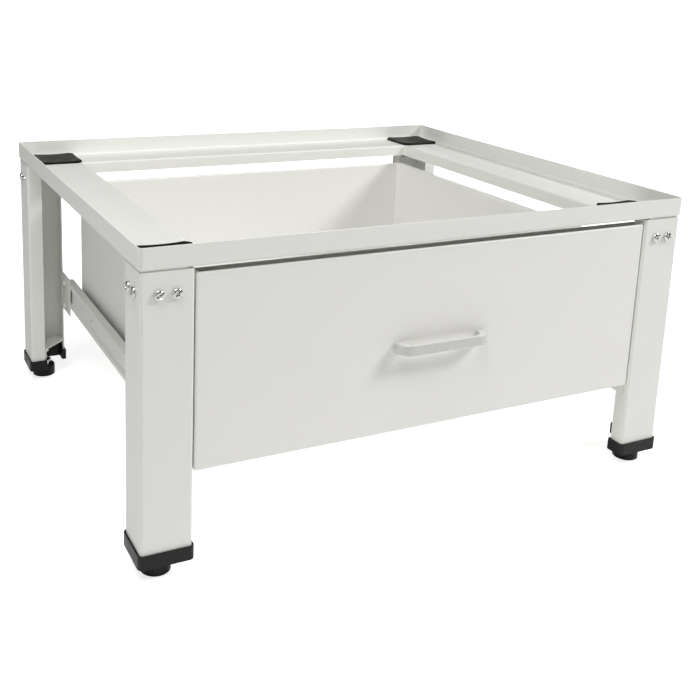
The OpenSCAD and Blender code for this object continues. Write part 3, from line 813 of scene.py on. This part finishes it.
def leg_screw_places():
    z = sum(corner.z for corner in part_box("leg_screws")) / 2
    places = []
    for n, key in enumerate(CORNERS):
        sx, sy = CORNERS[key]
        place = at_corner(key)
        u, v, w, d, _, _ = leg_box(key)
        for m, shift in enumerate((-SCREW_PITCH / 2, SCREW_PITCH / 2)):
            turn = FIRST_TURN + TURN_PER_LEG * n + TURN_PER_SCREW * m
            places.append(aimed(place(u + w / 2 + shift, v, z), (0, sy, 0), turn))
            places.append(aimed(place(u, v + d / 2 + shift, z), (sx, 0, 0), turn + TURN_PER_SIDE))
    return places


# ---------- runners ----------


def u_span(low, high):
    """A box's distances from the rim's side face, nearest first."""
    return sorted((HALF_W - abs(low.x), HALF_W - abs(high.x)))


def make_outer_member(side):
    """Outer member: a sunk web with holes that give a way to the inner member's screws, and two arms."""
    node = "runner_outer_" + side
    low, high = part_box(node)
    near, far = u_span(low, high)
    middle = (low.z + high.z) / 2
    half = (high.z - low.z) / 2
    depth = far - near
    t = RUNNER_SHEET
    m = t / 2
    band = half - WEB_BAND
    web = band - WEB_SLOPE
    sunk = [(WEB_SINK + m, web), (m, band)]
    arm = [(m, half - m), (depth - m, half - m), (depth - m, half - BALL_LIP)]
    upper = sunk + arm
    path = [(u, -z) for u, z in reversed(upper)] + upper
    outline = bent_sheet([(near + u, middle + z) for u, z in path], t, RUNNER_BEND)
    rail = extrude(outline, low.y, high.y, at_side(side))
    inner_low, inner_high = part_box("runner_inner_" + side)
    ends = (near + WEB_SINK - m, near + WEB_SINK + t + m)
    holes = []
    for share in WEB_HOLE_SHARES:
        y = inner_low.y + share * (inner_high.y - inner_low.y)
        holes.append(web_cutter(side, ends, middle, y))
    piece(node + "_rail", cut(rail, holes), node)


def web_cutter(side, ends, z, y):
    """A round bar across a runner's web, between two distances from the rim's side face."""
    ring = circle(WEB_HOLE / 2, 0, ORIGIN, WEB_HOLE_SEGMENTS)
    place = at_side(side)
    return solid([[place(u, z + up, y + along) for along, up, _ in ring] for u in ends])


def make_channel_member(node, side, web_near):
    """Middle or inner member: a plain channel, its web at its near or far end seen from the rim's side."""
    low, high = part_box(node)
    near, far = u_span(low, high)
    web, lips = (near, far) if web_near else (far, near)
    m = math.copysign(RUNNER_SHEET / 2, lips - web)
    z0, z1 = low.z + RUNNER_SHEET / 2, high.z - RUNNER_SHEET / 2
    path = [(lips, z0), (web + m, z0), (web + m, z1), (lips, z1)]
    rail = extrude(bent_sheet(path, RUNNER_SHEET, RUNNER_BEND), low.y, high.y, at_side(side))
    piece(node + "_rail", soften(rail, FINE_EDGE), node)


def make_runner(side):
    make_outer_member(side)
    make_channel_member("runner_middle_" + side, side, web_near=True)
    make_channel_member("runner_inner_" + side, side, web_near=False)


# ---------- drawer ----------


def fold_profile(depth, steps):
    """A folded edge as (inset, depth) points: inside the bend, along the edge, and back outside it."""
    t, bend = DRAWER_SHEET, DRAWER_BEND
    outer = [(bend - bend * math.sin(a), bend - bend * math.cos(a)) for a in quarter(steps)]
    inner = [(bend - (bend - t) * math.sin(a), bend - (bend - t) * math.cos(a)) for a in quarter(steps)]
    return inner + [(t, depth), (0, depth)] + outer[::-1]


def front_ring(half_w, low_z, high_z, inset):
    """Points round an upright rectangle, inset from its outline, with a note of those on its top edge.

    Each corner is round, and the top edge has a point of its own at a notch from either side.
    """
    points = []
    steps = FRONT_CORNER_STEPS
    notch = FRONT_NOTCH
    r = max(FRONT_CORNER - inset, SMALLEST_CORNER)
    c = inset + r
    corners = (
        (half_w - c, high_z - c, 0), (c - half_w, high_z - c, 90),
        (c - half_w, low_z + c, 180), (half_w - c, low_z + c, 270),
    )
    for n, (x, z, start) in enumerate(corners):
        for k in range(steps + 1):
            angle = math.radians(start + 90 * k / steps)
            points.append((x + r * math.cos(angle), z + r * math.sin(angle), False))
        if n == 0:
            points.append((half_w - notch, high_z - inset, True))
            points.append((notch - half_w, high_z - inset, True))
    return points


def make_drawer_front():
    """Pan of one sheet: deep folds at the sides and bottom, a shallow one at the top."""
    low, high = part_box("drawer_front")
    rings = []
    for inset, depth in fold_profile(FRONT_EDGE, steps=5):
        ring = front_ring(high.x, low.z, high.z, inset)
        rings.append([(x, low.y + (min(depth, FRONT_TOP_EDGE) if top else depth), z) for x, z, top in ring])
    piece("drawer_front_pan", solid(rings), "drawer_front")


def make_inner_front():
    """Sheet that closes the back of the front's pan, its edges softened."""
    low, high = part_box("drawer_front")
    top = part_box("drawer_inner_front")[1].z
    r = INNER_FRONT_CORNER
    outline = filleted([(low.x, low.z, r), (high.x, low.z, r), (high.x, top, r), (low.x, top, r)], steps=3)
    start = low.y + FRONT_EDGE
    sheet = extrude(outline, start, start + DRAWER_SHEET, lambda x, z, y: (x, y, z))
    piece("drawer_inner_front_sheet", soften(sheet, INNER_FRONT_EDGE), "drawer_inner_front")


def make_drawer_side(side):
    """Double-skinned wall: one sheet bent over the top, and a plate that closes its front end."""
    node = "drawer_side_" + side
    low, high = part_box(node)
    near, far = u_span(low, high)
    t = DRAWER_SHEET
    m = t / 2
    place = at_side(side)
    path = [(near + m, low.z), (near + m, high.z - m), (far - m, high.z - m), (far - m, low.z)]
    skins = bent_sheet(path, t, WALL_BEND)
    wall = soften(extrude(skins, low.y + t, high.y, place), FINE_EDGE)
    r = WALL_BEND
    end = filleted([(near, low.z, 0), (far, low.z, 0), (far, high.z, r), (near, high.z, r)], steps=5)
    plate = extrude(end, low.y, low.y + t, place)
    piece(f"{node}_wall", merged([wall, plate]), node)


def make_drawer_back():
    """Rear wall with its upper and lower edge folded back."""
    low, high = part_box("drawer_back")
    t = DRAWER_SHEET
    m = t / 2
    path = [(high.y, low.z + m), (low.y + m, low.z + m), (low.y + m, high.z - m), (high.y, high.z - m)]
    outline = bent_sheet(path, t, DRAWER_BEND)
    wall = extrude(outline, low.x, high.x, lambda y, z, x: (x, y, z))
    piece("drawer_back_wall", wall, "drawer_back")


def make_drawer_floor():
    """Floor with its four edges turned down."""
    low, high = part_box("drawer_floor")
    rings = []
    for inset, depth in fold_profile(high.z - low.z, steps=4):
        x, y0, y1 = high.x - inset, low.y + inset, high.y - inset
        rings.append([(sx, sy, high.z - depth) for sx, sy in ((-x, y0), (x, y0), (x, y1), (-x, y1))])
    piece("drawer_floor_pan", solid(rings), "drawer_floor")


# ---------- handle ----------


def make_handle():
    """Bow handle: a bar with round bends on two thicker feet."""
    low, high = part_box("handle")
    outer_x, front_y, back_y = high.x, low.y, high.y
    inner_x = outer_x - HANDLE_FOOT
    outline = filleted(
        [
            (-outer_x, back_y, 0), (-outer_x, front_y, HANDLE_R), (outer_x, front_y, HANDLE_R),
            (outer_x, back_y, 0), (inner_x, back_y, 0),
            (inner_x, front_y + HANDLE_T, HANDLE_R - HANDLE_T),
            (-inner_x, front_y + HANDLE_T, HANDLE_R - HANDLE_T), (-inner_x, back_y, 0),
        ],
        steps=10,
    )
    bow = extrude(outline, low.z, high.z, lambda x, y, z: (x, y, z))
    piece("handle_bow", soften(bow, HANDLE_EDGE, steps=3), "handle")


# ---------- stage, lights and camera ----------


def make_stage():
    """A plain white floor, which reaches well past every view and shows only the faintest shadow."""
    r = FLOOR_REACH
    corners = [(-r, -r, 0), (r, -r, 0), (r, r, 0), (-r, r, 0)]
    mesh = bpy.data.meshes.new("floor")
    mesh.from_pydata(corners, [], [(0, 1, 2, 3)])
    floor = bpy.data.objects.new("floor", mesh)
    scene.collection.objects.link(floor)
    material, shader, place = start_material("floor")
    links = material.node_tree.links
    patches = noise(material, place, FLOOR_PATCHES)
    shade = blend_colours(material, patches, [FLOOR_DARK] * 3, [FLOOR_LIGHT] * 3)
    links.new(shade, shader.inputs["Base Color"])
    shader.inputs["Roughness"].default_value = FLOOR_ROUGH
    shader.inputs["Emission Color"].default_value = (1, 1, 1, 1)
    links.new(floor_glow(material, place), shader.inputs["Emission Strength"])
    mesh.materials.append(material)


def floor_glow(material, place):
    """Strength of the light that the floor gives off.

    It is the same everywhere for other surfaces. The camera sees more, rising away from the object.
    """
    nodes, links = material.node_tree.nodes, material.node_tree.links
    distance = nodes.new("ShaderNodeVectorMath")
    distance.operation = "LENGTH"
    links.new(place, distance.inputs[0])
    seen = nodes.new("ShaderNodeMapRange")
    seen.interpolation_type = "SMOOTHSTEP"
    seen.inputs["From Min"].default_value = GLOW_FROM
    seen.inputs["From Max"].default_value = GLOW_TO
    seen.inputs["To Min"].default_value = FLOOR_GLOW_NEAR
    seen.inputs["To Max"].default_value = FLOOR_GLOW_FAR
    links.new(distance.outputs["Value"], seen.inputs["Value"])
    glow = nodes.new("ShaderNodeMath")
    glow.operation = "MULTIPLY_ADD"
    links.new(nodes.new("ShaderNodeLightPath").outputs["Is Camera Ray"], glow.inputs[0])
    links.new(seen.outputs["Result"], glow.inputs[1])
    glow.inputs[2].default_value = FLOOR_BOUNCE
    return glow.outputs["Value"]


def soft_light(name, position, target, size, power):
    """A square soft box at position, aimed at target."""
    data = bpy.data.lights.new(name, "AREA")
    data.size = size
    data.energy = power
    obj = bpy.data.objects.new(name, data)
    obj.location = position
    direction = Vector(target) - Vector(position)
    obj.rotation_mode = "QUATERNION"
    obj.rotation_quaternion = direction.to_track_quat("-Z", "Y")
    scene.collection.objects.link(obj)


def make_lights():
    """A key light at the front right, softer boxes above, at the left and behind, and a white room."""
    for name, (position, target, size, power) in LIGHTS.items():
        soft_light(name, position, target, size, power)
    world = bpy.data.worlds.new("surround")
    scene.world = world
    world.use_nodes = True
    nodes, links = world.node_tree.nodes, world.node_tree.links
    seen, lighting = nodes["Background"], nodes.new("ShaderNodeBackground")
    seen.inputs["Strength"].default_value = ROOM_SEEN
    seen.inputs["Color"].default_value = (1, 1, 1, 1)
    lighting.inputs["Strength"].default_value = ROOM_LIGHT
    lighting.inputs["Color"].default_value = (1, 1, 1, 1)
    mix = nodes.new("ShaderNodeMixShader")
    links.new(nodes.new("ShaderNodeLightPath").outputs["Is Camera Ray"], mix.inputs["Fac"])
    links.new(lighting.outputs["Background"], mix.inputs[1])
    links.new(seen.outputs["Background"], mix.inputs[2])
    links.new(mix.outputs["Shader"], nodes["World Output"].inputs["Surface"])
    scene.view_settings.view_transform = "Standard"


def make_camera():
    """The photograph's view: from the front left, close to the object and above it."""
    yaw, pitch, roll = (math.radians(a) for a in (CAMERA_YAW, CAMERA_PITCH, CAMERA_ROLL))
    forward = Vector((math.sin(yaw) * math.cos(pitch), math.cos(yaw) * math.cos(pitch), -math.sin(pitch)))
    right = Vector((math.cos(yaw), -math.sin(yaw), 0))
    up = right.cross(forward)
    rolled_right = right * math.cos(roll) + up * math.sin(roll)
    rolled_up = up * math.cos(roll) - right * math.sin(roll)
    data = bpy.data.cameras.new("camera")
    data.lens = CAMERA_LENS
    data.shift_x = CAMERA_SHIFT_X
    data.shift_y = CAMERA_SHIFT_Y
    camera = bpy.data.objects.new("camera", data)
    axes = Matrix((rolled_right, rolled_up, -forward)).transposed()
    camera.matrix_world = Matrix.Translation(CAMERA_PLACE) @ axes.to_4x4()
    scene.collection.objects.link(camera)
    scene.camera = camera


# ---------- the object ----------

for node, obj in frame["nodes"].items():
    obj.data.materials.clear()
    obj.data.materials.append(MATERIALS[SLOT_OF[node]])

make_camera()
make_lights()
make_stage()
make_rim()
for key in CORNERS:
    make_leg(key)
    make_foot_cap(key)
    make_foot_pad(key)
    make_rubber_pad(key)
for side in SIDES:
    make_runner(side)
    make_drawer_side(side)
make_drawer_front()
make_inner_front()
make_drawer_back()
make_drawer_floor()
make_handle()
make_screws("leg_screws_pan_head", "leg_screws", leg_screw_places())
